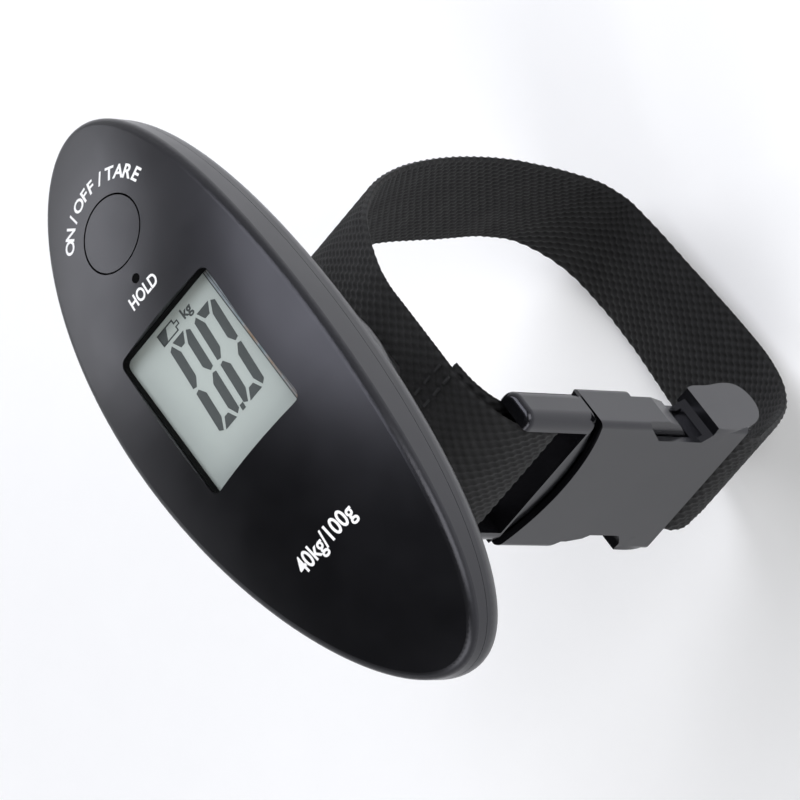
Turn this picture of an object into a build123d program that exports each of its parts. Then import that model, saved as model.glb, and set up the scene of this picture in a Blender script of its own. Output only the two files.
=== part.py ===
"""Digital luggage scale: an oval hand-held housing with a load cell inside, and a webbing
loop with a side-release buckle hanging from it.

Millimetres. X runs across the oval, Y along it towards the button, Z out of the display
face. The origin is the middle of the housing on its parting line.
"""

import math
import os

from build123d import *

# ---------------------------------------------------------------- driving dimensions
# Housing
BODY_LENGTH = 130.0
BODY_WIDTH = 48.6
FACE_RISE = 11.8          # display face above the parting line, at the middle
FACE_DROP_LONG = 13.2     # fall of the face from the middle to the tips
FACE_DROP_CROSS = 3.8     # fall of the face from the middle to the sides
PARTING_DROP = 5.4        # the parting line bends back by this much at the tips
REAR_DEPTH = 8.2
WALL = 1.8
RIM_ROUND = 2.0
REAR_ROUND = 6.5
LIP_HEIGHT = 1.2
LIP_WALL = 1.0

# Rear boss that shrouds the load link
BOSS_Y = 0.0
BOSS_LONG = 40.0
BOSS_WIDE = 34.0
BOSS_BOTTOM = -24.5
BOSS_ROUND = 8.0

# Display
OPENING_Y = 2.9
OPENING_WIDE = 25.6
OPENING_LONG = 32.4
OPENING_ROUND = 1.6
WINDOW_TOP = 7.9
WINDOW_THICK = 0.9
WINDOW_MARGIN = 1.4
PANEL_WIDE = 27.2
PANEL_LONG = 34.8
PANEL_THICK = 1.9
REFLECTOR_THICK = 0.25
STRIP_THICK = 2.0
STRIP_LONG = 24.0
FRAME_WALL = 1.5

# Button and hold lamp
BUTTON_Y = 39.4
BUTTON_RADIUS = 7.1
BUTTON_GAP = 0.35
BUTTON_TRAVEL = 0.6
FLANGE_RADIUS = 8.4
SWITCH_WIDE = 6.0
SWITCH_TALL = 2.0
PLUNGER_RADIUS = 1.6
LAMP_Y = 28.1
LAMP_RADIUS = 0.9

# Circuit board
BOARD_TOP = 0.0
BOARD_THICK = 1.0
BOARD_INSET = 5.0
BOARD_LOW_Y = -17.0

# Battery
CELL_RADIUS = 10.0
CELL_THICK = 3.2
CELL_Y = -38.0
CELL_BOTTOM = -7.6
CAP_RADIUS = 11.2
CAP_THICK = 1.5
CAP_BOTTOM = -9.7
LUG_LOW = 0.5
LUG_TALL = 0.6
LUG_RADIUS = 11.8

# Case screws
SCREW_X = 15.2
SCREW_Y = 33.0
POST_RADIUS = 2.8
SHANK_RADIUS = 0.95
HEAD_RADIUS = 1.9

# Load cell and link
BAR_WIDE = 10.0
BAR_TOP = -2.0
BAR_THICK = 3.6
BAR_Y_FIXED = -25.0
BAR_Y_FREE = 14.0
PIN_Y = 9.0
PIN_Z = -14.0
PIN_RADIUS = 1.5
LINK_WIDE = 7.4
CLEVIS_PLATE = 1.2

# Webbing
WEB_WIDE = 25.0
WEB_THICK = 1.5
CLAMP_Z = -43.6           # centre of the webbing where the plates clamp it

# Buckle
BUCKLE_Y = -16.2
BUCKLE_WIDE = 33.0
BUCKLE_THICK = 9.6
MALE_TOP = -49.5
MOUTH_Z = -71.5
FEMALE_END = -119.0
BAR_ROD = 1.9

# ---------------------------------------------------------------- clearances
RUNNING = 0.05            # radial, shafts that turn or slide in a hole
SEAT = 0.2                # loose seats of glass, board and cell
STATIC = 0.05             # screws in their pilot holes
COVER_GAP = 0.1           # between the two covers along the parting line

# ---------------------------------------------------------------- derived
HALF_LONG = BODY_LENGTH / 2
HALF_WIDE = BODY_WIDTH / 2
PART_R = HALF_LONG ** 2 / (2 * PARTING_DROP)
FACE_R_LONG = HALF_LONG ** 2 / (2 * FACE_DROP_LONG)
FACE_R_CROSS = HALF_WIDE ** 2 / (2 * FACE_DROP_CROSS)
BOARD_BOTTOM = BOARD_TOP - BOARD_THICK
BAR_BOTTOM = BAR_TOP - BAR_THICK
WINDOW_BOTTOM = WINDOW_TOP - WINDOW_THICK
PANEL_TOP = WINDOW_BOTTOM - 0.3
PANEL_BOTTOM = PANEL_TOP - PANEL_THICK
HALF_BUCKLE = BUCKLE_WIDE / 2


def save(node, shape):
    """Writes one node's solids to its own STEP file."""
    solids = [s for s in shape.solids()]
    out = solids[0] if len(solids) == 1 else Compound(children=solids)
    out.label = node
    export_step(out, f"parts/{node}.step")


# ---------------------------------------------------------------- housing helpers
def face_height(x, y):
    """Height of the crowned display face at a plan position."""
    sag = FACE_R_CROSS - math.sqrt(FACE_R_CROSS ** 2 - x ** 2)
    reach = math.sqrt((FACE_R_LONG - sag) ** 2 - y ** 2)
    return FACE_RISE - FACE_R_LONG + reach


def parting_height(y):
    """Height of the parting line at a position along the housing."""
    return math.sqrt(PART_R ** 2 - y ** 2) - PART_R


def plan_prism(inset, low=-30.0, high=20.0):
    """Upright prism over the oval plan, drawn in from the rim."""
    plan = Ellipse(HALF_WIDE - inset, HALF_LONG - inset)
    return Pos(0, 0, low) * extrude(plan, high - low)


def under_face(inset):
    """All the space under the crowned face, lowered by a wall: a round ring's upper part."""
    cross_r = FACE_R_CROSS - inset
    top = FACE_RISE - inset
    section = Plane.XZ * (Pos(0, top - cross_r) * Rot(0, 0, -60) * Circle(cross_r))
    centre = FACE_RISE - FACE_R_LONG
    if top - 2 * cross_r < centre + 5:
        section &= Plane.XZ * Rectangle(4 * cross_r, -2 * (centre + 5))
    spin = Axis((0, 0, centre), (1, 0, 0))
    return revolve(section, spin, 360)


def under_parting(drop):
    """All the space under the parting surface, lowered by a distance."""
    radius = PART_R - drop
    drum = extrude(Plane.YZ * (Pos(0, -PART_R) * Circle(radius)), 40, both=True)
    return drum


def front_block(inset):
    """Solid front half of the housing, drawn in by a wall."""
    block = plan_prism(inset) & under_face(inset)
    return block - under_parting(-COVER_GAP)


def rear_block(inset, round_r):
    """Solid rear half with its rolled lower edge, drawn in by a wall."""
    depth = REAR_DEPTH - inset
    block = (plan_prism(inset) & under_parting(0)) - under_parting(depth)
    target = PART_R - depth
    low = []
    for edge in block.edges():
        spot = edge @ 0.37
        reach = math.hypot(spot.Y, spot.Z + PART_R)
        if abs(reach - target) < 0.02:
            low.append(edge)
    return fillet(low, round_r)


def boss_block(inset, round_r):
    """Oval boss under the rear cover, drawn in by a wall."""
    plan = Pos(0, BOSS_Y) * Ellipse(BOSS_WIDE / 2 - inset, BOSS_LONG / 2 - inset)
    low = BOSS_BOTTOM + inset
    block = Pos(0, 0, low) * extrude(plan, -4.0 - low)
    edge = block.edges().sort_by(Axis.Z)[0]
    return fillet(edge, round_r)


def rod(x, y, low, high, radius):
    """Upright round rod."""
    return Pos(x, y, low) * Rot(0, 0, 37) * extrude(Circle(radius), high - low)


def cross_rod(y, z, half, radius):
    """Round rod along X."""
    return extrude(Plane.YZ * (Pos(y, z) * Circle(radius)), half, both=True)


def box(x0, x1, y0, y1, z0, z1):
    """Box between two corners."""
    middle = Pos((x0 + x1) / 2, (y0 + y1) / 2, (z0 + z1) / 2)
    return middle * Box(x1 - x0, y1 - y0, z1 - z0)


def plate(wide, long, y, low, high, corner):
    """Upright plate with rounded corners, centred across the housing."""
    return Pos(0, y, low) * extrude(RectangleRounded(wide, long, corner), high - low)


SCREW_SPOTS = [(sx * SCREW_X, sy * SCREW_Y) for sx in (-1, 1) for sy in (-1, 1)]
BOARD_SPOTS = [(-12.2, 26.5), (12.2, 26.5)]
BOARD_SCREW = 0.6


# ---------------------------------------------------------------- housing
def make_front_cover():
    """Front cover: crowned shell with display opening, button hole and screw posts."""
    outer = front_block(0)
    rim = []
    for edge in outer.edges():
        spot = edge @ 0.37
        if abs(spot.Z - face_height(spot.X, spot.Y)) < 0.02:
            rim.append(edge)
    outer = fillet(rim, RIM_ROUND)
    shell = outer - (plan_prism(WALL) & under_face(WALL))
    shell -= rod(0, LAMP_Y, 0, 20, LAMP_RADIUS + STATIC)
    shell -= rod(0, BUTTON_Y, 0, 20, BUTTON_RADIUS + BUTTON_GAP)
    inner_limit = front_block(0.9)
    pad = plate(OPENING_WIDE + 3.4, OPENING_LONG + 3.4, OPENING_Y, WINDOW_TOP, 20, 2.5)
    shell += pad & inner_limit
    for x, y in SCREW_SPOTS:
        low = parting_height(y) + COVER_GAP
        shell += rod(x, y, low, 20, POST_RADIUS) & inner_limit
    for x, y in BOARD_SPOTS:
        shell += rod(x, y, BOARD_TOP, 20, 1.6) & inner_limit
    opening = plate(OPENING_WIDE, OPENING_LONG, OPENING_Y, -5, 20, OPENING_ROUND)
    pocket_wide = OPENING_WIDE + 2 * WINDOW_MARGIN + 2 * SEAT
    pocket_long = OPENING_LONG + 2 * WINDOW_MARGIN + 2 * SEAT
    pocket = plate(pocket_wide, pocket_long, OPENING_Y, -5, WINDOW_TOP, 2.0)
    shell -= opening
    shell -= pocket
    for x, y in SCREW_SPOTS:
        shell -= rod(x, y, -6, 4.2, SHANK_RADIUS + STATIC)
    for x, y in BOARD_SPOTS:
        shell -= rod(x, y, -2, 3.8, BOARD_SCREW + STATIC)
    return shell


def make_rear_cover():
    """Rear cover: rounded shell with boss, lip, battery well, screw wells and link slot."""
    shell = rear_block(0, REAR_ROUND) + boss_block(0, BOSS_ROUND)
    shell -= rear_block(WALL, REAR_ROUND - WALL)
    shell -= boss_block(WALL, BOSS_ROUND - WALL)
    # locating lip that stands up inside the front cover
    lip = plan_prism(WALL + 0.3) - plan_prism(WALL + 0.3 + LIP_WALL)
    lip = (lip & under_parting(-LIP_HEIGHT)) - under_parting(3.0)
    shell += lip & plan_prism(WALL + 0.3)
    collar = (plan_prism(WALL - 0.2) & under_parting(1.6)) - under_parting(3.0)
    shell += collar - plan_prism(WALL + 0.3 + LIP_WALL)
    inner_limit = rear_block(0.6, REAR_ROUND - 0.6)
    for x, y in SCREW_SPOTS:
        post = rod(x, y, -20, parting_height(y), POST_RADIUS + 0.6)
        shell += post & inner_limit
    # seat for the fixed end of the load cell
    seat = box(-6, 6, BAR_Y_FIXED - 1, BAR_Y_FIXED + 16, -7.6, BAR_BOTTOM)
    shell += seat & inner_limit
    boss_limit = boss_block(0.6, BOSS_ROUND - 0.6)
    for sx in (-1, 1):
        x0, x1 = sorted((sx * 4.2, sx * 6.0))
        shell += box(x0, x1, BAR_Y_FIXED + 2, BAR_Y_FIXED + 16, -24, -7.5) & boss_limit
    # ring wall around the battery well
    ring = rod(0, CELL_Y, -12, CELL_BOTTOM + CELL_THICK, CAP_RADIUS + 1.4)
    shell += ring & inner_limit
    shell -= rod(0, CELL_Y, -20, CAP_BOTTOM + CAP_THICK + 0.1, CAP_RADIUS + RUNNING)
    shell -= rod(0, CELL_Y, -20, 0, CELL_RADIUS + 0.35)
    for x, y in SCREW_SPOTS:
        shell -= rod(x, y, -20, 0, SHANK_RADIUS + 0.35)
        shell -= rod(x, y, -20, -7.6, HEAD_RADIUS + 0.35)
        shell -= rod(x, y, parting_height(y), 5, POST_RADIUS + 0.35)
    for y in (BAR_Y_FIXED + 3.5, BAR_Y_FIXED + 11.5):
        shell -= rod(0, y, -7.6, 0, 1.25 + STATIC)
    slot = plate(LINK_WIDE + 3.0, 17.0, PIN_Y, BOSS_BOTTOM - 1, BOSS_BOTTOM + 6, 2.0)
    shell -= slot
    # groove for the cap's lugs, with two entry slots
    low = CAP_BOTTOM + LUG_LOW
    shell -= rod(0, CELL_Y, low - 0.1, low + LUG_TALL + 0.1, LUG_RADIUS + 0.3)
    for sy in (-1, 1):
        shell -= Pos(0, CELL_Y + sy * (CAP_RADIUS - 0.2), low - 10 + LUG_TALL) * Box(3.4, 2 * 1.2, 20)
    return shell


# ---------------------------------------------------------------- display
def make_window():
    """Clear window bonded under the opening's rim."""
    wide = OPENING_WIDE + 2 * WINDOW_MARGIN
    long = OPENING_LONG + 2 * WINDOW_MARGIN
    return plate(wide, long, OPENING_Y, WINDOW_BOTTOM, WINDOW_TOP, 1.8)


def make_panel():
    """Liquid crystal cell: two bonded sheets of glass, the lower one shorter in width."""
    half = PANEL_THICK / 2
    low = box(-PANEL_WIDE / 2, PANEL_WIDE / 2, OPENING_Y - PANEL_LONG / 2,
              OPENING_Y + PANEL_LONG / 2, PANEL_BOTTOM, PANEL_BOTTOM + half)
    high = box(-PANEL_WIDE / 2, PANEL_WIDE / 2, OPENING_Y - PANEL_LONG / 2 + 1.2,
               OPENING_Y + PANEL_LONG / 2 - 1.2, PANEL_BOTTOM + half, PANEL_TOP)
    return low + high


def strip_y(side):
    """Middle of the contact strip at one end of the display."""
    return OPENING_Y + side * (PANEL_LONG / 2 - STRIP_THICK / 2 - 0.3)


def make_reflector():
    """Pale reflective sheet behind the cell."""
    span = PANEL_LONG - 2 * STRIP_THICK - 2.0
    top = PANEL_BOTTOM - 0.05
    return box(-PANEL_WIDE / 2 + 0.5, PANEL_WIDE / 2 - 0.5, OPENING_Y - span / 2,
               OPENING_Y + span / 2, top - REFLECTOR_THICK, top)


def make_contact_strips():
    """Two alike elastomer contact strips between the board and the cell."""
    strips = []
    for side in (-1, 1):
        y = strip_y(side)
        strips.append(box(-STRIP_LONG / 2, STRIP_LONG / 2, y - STRIP_THICK / 2,
                          y + STRIP_THICK / 2, BOARD_TOP, PANEL_BOTTOM))
    return Compound(children=strips)


def make_display_frame():
    """Frame that carries the cell on the board and holds the strips upright."""
    wide = PANEL_WIDE + 2 * SEAT + 2 * FRAME_WALL
    long = PANEL_LONG + 2 * SEAT + 2 * FRAME_WALL
    shelf = PANEL_BOTTOM - 0.1
    frame = plate(wide, long, OPENING_Y, BOARD_TOP, PANEL_TOP - 0.9, 1.2)
    frame -= plate(PANEL_WIDE + 2 * SEAT, PANEL_LONG + 2 * SEAT, OPENING_Y, shelf, 20, 0.4)
    lower = PANEL_LONG - 2 * STRIP_THICK - 4.0
    frame -= plate(PANEL_WIDE - 3.0, lower, OPENING_Y, -1, 20, 0.8)
    span = PANEL_LONG - 2 * STRIP_THICK - 1.4
    sheet = shelf - REFLECTOR_THICK - 0.1
    frame -= plate(PANEL_WIDE - 0.4, span, OPENING_Y, sheet, 20, 0.4)
    for side in (-1, 1):
        y = strip_y(side)
        frame -= box(-STRIP_LONG / 2 - 0.15, STRIP_LONG / 2 + 0.15, y - STRIP_THICK / 2 - 0.15,
                     y + STRIP_THICK / 2 + 0.15, -1, 20)
    return frame


# ---------------------------------------------------------------- button group
SWITCH_FLOOR = BOARD_TOP + 0.6
PLUNGER_TOP = 3.3


def make_button_cap():
    """Round button flush with the face, with a flange under the cover and a stem."""
    floor = under_face(WALL + 1.1)
    cap = (rod(0, BUTTON_Y, 0, 20, BUTTON_RADIUS) & under_face(0.05)) - floor
    flange = (rod(0, BUTTON_Y, 0, 20, FLANGE_RADIUS) & under_face(WALL + 0.35)) - floor
    cap += flange
    cap -= rod(0, BUTTON_Y, -5, 20, BUTTON_RADIUS - 1.2) & under_face(WALL)
    return cap + (rod(0, BUTTON_Y, PLUNGER_TOP, 12.0, 1.8) & under_face(1.0))


def make_switch_base():
    """Square base of the push switch, with the plunger's hole."""
    base = plate(SWITCH_WIDE, SWITCH_WIDE, BUTTON_Y, BOARD_TOP, SWITCH_TALL, 0.6)
    return base - rod(0, BUTTON_Y, SWITCH_FLOOR, 5, PLUNGER_RADIUS + RUNNING)


def make_switch_plunger():
    """Round plunger of the push switch."""
    return rod(0, BUTTON_Y, SWITCH_FLOOR + BUTTON_TRAVEL + 0.15, PLUNGER_TOP, PLUNGER_RADIUS)


def make_hold_lens():
    """Small dark lens for the hold lamp, headed on the inside."""
    top = face_height(0, LAMP_Y) - 0.25
    under = face_height(0, LAMP_Y) - WALL - 1.2
    lens = rod(0, LAMP_Y, under - 1.0, top, LAMP_RADIUS)
    return lens + rod(0, LAMP_Y, under - 1.0, under, 1.6)


def make_hold_lamp():
    """Surface-mounted lamp under the lens."""
    return box(-1.0, 1.0, LAMP_Y - 0.6, LAMP_Y + 0.6, BOARD_TOP, BOARD_TOP + 0.8)


# ---------------------------------------------------------------- electronics
def make_board():
    """Circuit board cut to the oval, notched around the screw posts."""
    board = plan_prism(BOARD_INSET, BOARD_BOTTOM, BOARD_TOP)
    board &= box(-30, 30, BOARD_LOW_Y, 52, -5, 5)
    for x, y in SCREW_SPOTS:
        board -= rod(x, y, -5, 5, POST_RADIUS + 0.9)
    for x, y in BOARD_SPOTS:
        board -= rod(x, y, -5, 5, BOARD_SCREW + 0.35)
    return board


def make_board_screws():
    """Two alike screws that hold the board to the front cover's posts."""
    screws = []
    for x, y in BOARD_SPOTS:
        head = rod(x, y, BOARD_BOTTOM - 0.8, BOARD_BOTTOM, 1.5)
        screws.append(head + rod(x, y, BOARD_BOTTOM, 3.6, BOARD_SCREW))
    return Compound(children=screws)


def make_chip():
    """Resin cap over the bare measuring chip."""
    dome = rod(0, 3.0, BOARD_TOP, BOARD_TOP + 0.9, 2.6)
    return fillet(dome.edges().sort_by(Axis.Z)[-1], 0.7)


def make_small_parts():
    """Resistors and capacitors on the board."""
    spots = [(8.0, 27.0), (8.0, 29.5), (-8.0, 27.0), (-8.0, 29.5), (5.0, 29.0)]
    spots += [(-9.5, 46.0), (-5.5, 49.4), (5.5, 49.4)]
    return Compound(children=[
        box(x - 1.0, x + 1.0, y - 0.6, y + 0.6, BOARD_TOP, BOARD_TOP + 0.7) for x, y in spots
    ])


def make_crystal():
    """Metal can of the clock crystal."""
    can = plate(2.2, 5.6, 46.0, BOARD_TOP, BOARD_TOP + 1.6, 0.8)
    return Pos(9.6, 0, 0) * can


# ---------------------------------------------------------------- battery
def make_coin_cell():
    """Round lithium cell with its stepped lid."""
    can = rod(0, CELL_Y, CELL_BOTTOM, CELL_BOTTOM + CELL_THICK - 0.5, CELL_RADIUS)
    can += rod(0, CELL_Y, CELL_BOTTOM, CELL_BOTTOM + CELL_THICK, CELL_RADIUS - 1.2)
    return can


def make_positive_contact():
    """Bent strip that bears on the side of the cell and hooks over the well's wall."""
    inner = CELL_RADIUS + 0.05
    side = box(inner, inner + 0.25, CELL_Y - 0.8, CELL_Y + 0.8, CELL_BOTTOM + 0.6, -4.05)
    return side + box(inner, 14.0, CELL_Y - 0.8, CELL_Y + 0.8, -4.3, -4.05)


def make_negative_contact():
    """Sprung leaf across the middle of the cell."""
    arm = box(-2.0, 2.0, CELL_Y - CAP_RADIUS - 4.0, CELL_Y + 2.0, -3.2, -2.8)
    tip = box(-2.0, 2.0, CELL_Y, CELL_Y + 2.0, -4.35, -3.2)
    foot = box(-2.0, 2.0, CELL_Y - CAP_RADIUS - 4.0, CELL_Y - CAP_RADIUS - 1.7, -4.2, -3.2)
    return arm + tip + foot


def make_battery_cap():
    """Turning battery cap with a coin slot and two lock lugs."""
    top = CAP_BOTTOM + CAP_THICK
    cap = rod(0, CELL_Y, CAP_BOTTOM, top, CAP_RADIUS)
    cap = fillet(cap.edges().sort_by(Axis.Z)[0], 0.4)
    cap -= Pos(0, CELL_Y, CAP_BOTTOM) * Box(12.0, 1.8, 1.4)
    cap += rod(0, CELL_Y, top, CELL_BOTTOM - 0.1, CELL_RADIUS - 0.6)
    low = CAP_BOTTOM + LUG_LOW
    lugs = Pos(0, CELL_Y, low + LUG_TALL / 2) * Box(2 * LUG_RADIUS, 2.4, LUG_TALL)
    lugs &= rod(0, CELL_Y, -20, 0, LUG_RADIUS)
    return cap + lugs


# ---------------------------------------------------------------- case screws
def make_case_screws():
    """Four alike screws that draw the covers together."""
    screws = []
    for x, y in SCREW_SPOTS:
        head = rod(x, y, -8.8, -7.6, HEAD_RADIUS)
        cross = Pos(x, y, -8.8) * Box(2.2, 0.5, 1.0)
        cross += Pos(x, y, -8.8) * Box(0.5, 2.2, 1.0)
        screws.append(head - cross + rod(x, y, -7.6, 4.0, SHANK_RADIUS))
    return Compound(children=screws)


# ---------------------------------------------------------------- load path
def make_load_cell():
    """Aluminium bar that bends under load, thinned by two linked holes."""
    half = BAR_WIDE / 2
    bar = box(-half, half, BAR_Y_FIXED, BAR_Y_FREE, BAR_BOTTOM, BAR_TOP)
    middle = (BAR_TOP + BAR_BOTTOM) / 2
    bar -= cross_rod(-6.5, middle, 20, 1.2)
    bar -= cross_rod(0.5, middle, 20, 1.2)
    bar -= box(-20, 20, -6.5, 0.5, middle - 0.5, middle + 0.5)
    for y in (BAR_Y_FIXED + 3.5, BAR_Y_FIXED + 11.5):
        bar -= rod(0, y, -10, 0, 1.25 + 0.35)
        bar -= rod(0, y, BAR_TOP - 1.2, 0, 2.4 + 0.3)
    bar -= rod(0, PIN_Y, -10, 0, 1.25 + STATIC)
    return bar


def make_bar_screws():
    """Two alike screws through the fixed end of the bar."""
    screws = []
    for y in (BAR_Y_FIXED + 3.5, BAR_Y_FIXED + 11.5):
        head = rod(0, y, BAR_TOP - 1.2, BAR_TOP - 0.1, 2.4)
        screws.append(head + rod(0, y, -7.5, BAR_TOP - 1.2, 1.25))
    return Compound(children=screws)


def make_gauges():
    """Two alike strain gauges bonded above and below the thin part of the bar."""
    high = box(-2.5, 2.5, -6.0, 0.0, BAR_TOP, BAR_TOP + 0.12)
    low = box(-2.5, 2.5, -6.0, 0.0, BAR_BOTTOM - 0.12, BAR_BOTTOM)
    return Compound(children=[high, low])


def make_clevis():
    """Bent steel bracket under the free end of the bar, with two ears for the pin."""
    ear_in = LINK_WIDE / 2 + 0.6
    ear_out = ear_in + CLEVIS_PLATE
    top = BAR_BOTTOM
    low = top - CLEVIS_PLATE
    bracket = box(-ear_out, ear_out, PIN_Y - 4.5, PIN_Y + 4.5, low, top)
    for sx in (-1, 1):
        x0, x1 = sorted((sx * ear_in, sx * ear_out))
        ear = box(x0, x1, PIN_Y - 4.0, PIN_Y + 4.0, PIN_Z, top)
        ear += extrude(Plane.YZ.offset(x0) * (Pos(PIN_Y, PIN_Z) * Circle(4.0)), x1 - x0)
        bracket += ear
    bracket -= cross_rod(PIN_Y, PIN_Z, 20, PIN_RADIUS + STATIC)
    bracket -= rod(0, PIN_Y, -9, 0, 1.25 + STATIC)
    return bracket


def make_clevis_screw():
    """Screw that draws the bracket against the bar."""
    low = BAR_BOTTOM - CLEVIS_PLATE
    screw = rod(0, PIN_Y, low - 1.1, low, 2.3)
    return screw + rod(0, PIN_Y, low, BAR_TOP - 0.1, 1.25)


def make_pin():
    """Headed steel pin that the link swings on."""
    ear_out = LINK_WIDE / 2 + 0.6 + CLEVIS_PLATE
    pin = cross_rod(PIN_Y, PIN_Z, ear_out + 0.05, PIN_RADIUS)
    for sx in (-1, 1):
        x0, x1 = sorted((sx * (ear_out + 0.05), sx * (ear_out + 0.85)))
        pin += extrude(Plane.YZ.offset(x0) * (Pos(PIN_Y, PIN_Z) * Circle(2.3)), x1 - x0)
    return pin


PLATE_THICK = 1.2
PLATE_UP = CLAMP_Z + WEB_THICK / 2 + 0.05
PLATE_DOWN = CLAMP_Z - WEB_THICK / 2 - 0.05
FOOT_WIDE = 9.0
FOOT_LONG = 13.4
RIVET_OFF = 4.4           # rivets sit this far either side of the shank
RIVET_RADIUS = 1.2


def make_link():
    """Flat steel link: an eye on the pin, a shank, and a plate on the webbing."""
    half = LINK_WIDE / 2
    eye = cross_rod(PIN_Y, PIN_Z, half, 3.4)
    shank = box(-half, half, PIN_Y - 1.2, PIN_Y + 1.2, PLATE_UP + 0.5, PIN_Z)
    foot = plate(FOOT_WIDE, FOOT_LONG, PIN_Y, PLATE_UP, PLATE_UP + PLATE_THICK, 2.5)
    link = eye + shank + foot
    link -= cross_rod(PIN_Y, PIN_Z, 20, PIN_RADIUS + RUNNING)
    for sx in (-1, 1):
        link -= rod(0, PIN_Y + sx * RIVET_OFF, PLATE_UP - 1, PLATE_UP + 3, RIVET_RADIUS + STATIC)
    return link


def make_clamp_plate():
    """Steel plate on the load side of the webbing."""
    clamp = plate(FOOT_WIDE, FOOT_LONG, PIN_Y, PLATE_DOWN - PLATE_THICK, PLATE_DOWN, 2.5)
    for sx in (-1, 1):
        clamp -= rod(0, PIN_Y + sx * RIVET_OFF, PLATE_DOWN - 3, PLATE_DOWN + 1, RIVET_RADIUS + STATIC)
    return clamp


def make_rivets():
    """Two alike rivets through the link, the webbing and the clamp plate."""
    rivets = []
    for sx in (-1, 1):
        y = PIN_Y + sx * RIVET_OFF
        shank = rod(0, y, PLATE_DOWN - PLATE_THICK, PLATE_UP + PLATE_THICK, RIVET_RADIUS)
        high = rod(0, y, PLATE_UP + PLATE_THICK, PLATE_UP + PLATE_THICK + 0.8, 2.1)
        low = rod(0, y, PLATE_DOWN - PLATE_THICK - 0.8, PLATE_DOWN - PLATE_THICK, 2.1)
        rivets.append(shank + high + low)
    return Compound(children=rivets)


# ---------------------------------------------------------------- webbing
# Middle line of the webbing in the YZ plane, each stop as (y, z, lean in degrees).
NEAR_PATH = [
    (21.0, -44.6, 0), (16.5, CLAMP_Z, 0), (12.5, CLAMP_Z, 0), (9.0, CLAMP_Z, 0),
    (5.0, CLAMP_Z, 0), (1.0, CLAMP_Z, 0), (-3.0, -43.55, 0), (-8.0, -43.9, 0), (-13.5, -46.0, 0), (-17.6, -50.2, 0), (-19.2, -55.5, 0),
    (-19.1, -60.6, 0), (-17.9, -62.9, 0), (-16.0, -63.5, 0), (-14.1, -62.7, 0),
    (-13.2, -60.2, 0), (-13.0, -55.0, 0), (-11.6, -50.2, 0), (-7.6, -47.2, 0), (-2.6, -46.1, 0),
]
FAR_PATH = [
    (21.0, -44.6, 0), (25.5, -46.7, 0), (30.5, -49.7, 0), (36.0, -53.8, 0), (41.0, -59.6, 0),
    (45.8, -67.2, 1), (50.0, -76.8, 2), (53.2, -88.0, 3), (55.4, -100.0, 4), (56.6, -113.0, 5),
    (57.0, -126.0, 6), (56.8, -138.0, 8), (54.6, -148.6, 12), (49.6, -154.4, 16),
    (42.0, -156.6, 19), (32.0, -157.4, 20), (22.0, -157.5, 20), (12.0, -157.2, 19),
    (3.0, -156.0, 17), (-3.6, -153.0, 13), (-9.2, -147.6, 9), (-13.4, -140.6, 5),
    (-16.6, -133.4, 2), (-18.9, -127.4, 0), (-18.8, -122.9, 0), (-16.2, -121.0, 0),
    (-13.6, -122.4, 0), (-13.2, -126.0, 0), (-11.8, -131.5, 0), (-9.6, -136.5, 0),
]


def path_line(path):
    """Smooth middle line through the stops of a path."""
    return Spline([(0, y, z) for y, z, _ in path])


def web_section(line, share, lean):
    """One flat cross-section of webbing, square to its path and turned by its lean."""
    here = line @ share
    along = line % share
    across = Vector(1, 0, 0).rotate(Axis((0, 0, 0), along), lean)
    plane = Plane(origin=here, x_dir=across, z_dir=along)
    return plane * Rectangle(WEB_WIDE, WEB_THICK)


def web_run(path, first, last, steps):
    """Webbing between two shares of its path, lofted through even sections."""
    line = path_line(path)
    stops = len(path) - 1
    sections = []
    for k in range(steps + 1):
        share = first + (last - first) * k / steps
        spot = share * stops
        low = min(int(spot), stops - 1)
        lean = path[low][2] + (path[low + 1][2] - path[low][2]) * (spot - low)
        sections.append(web_section(line, share, lean))
    return loft(sections)


def web_flat(path, first, last, steps):
    """Webbing with no lean, as one profile swept straight across."""
    line = path_line(path)
    left = []
    right = []
    for k in range(steps + 1):
        share = first + (last - first) * k / steps
        here = line @ share
        along = line % share
        side = Vector(0, -along.Z, along.Y) * (WEB_THICK / 2)
        left.append(here + side)
        right.append(here - side)
    edges = [Spline(left), Line(left[-1], right[-1]), Spline(right), Line(right[0], left[0])]
    face = make_face(edges)
    return extrude(face, WEB_WIDE / 2, both=True)


def main():
    os.makedirs("parts", exist_ok=True)
    for name, maker in NODES:
        save(name, maker())


def make_webbing():
    """One strap: stitched tail, buckle bar, clamped run, loop, and turn at the far bar."""
    near = web_flat(NEAR_PATH, 0.0, 1.0, 60)
    for sx in (-1, 1):
        near -= rod(0, PIN_Y + sx * RIVET_OFF, CLAMP_Z - 3, CLAMP_Z + 3, RIVET_RADIUS + STATIC)
    far = web_run(FAR_PATH, 0.0, 1.0, 58)
    return near + far


def make_stitching():
    """Rows of thread over the joint between the run and the tail."""
    rows = []
    top = CLAMP_Z + WEB_THICK / 2 + 0.15
    for k in range(8):
        x = -10.5 + 3.0 * k
        rows.append(box(x - 0.9, x + 0.9, -2.4, -1.9, top, top + 0.3))
        rows.append(box(x - 0.9, x + 0.9, -5.4, -4.9, top, top + 0.3))
    return Compound(children=rows)


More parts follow.
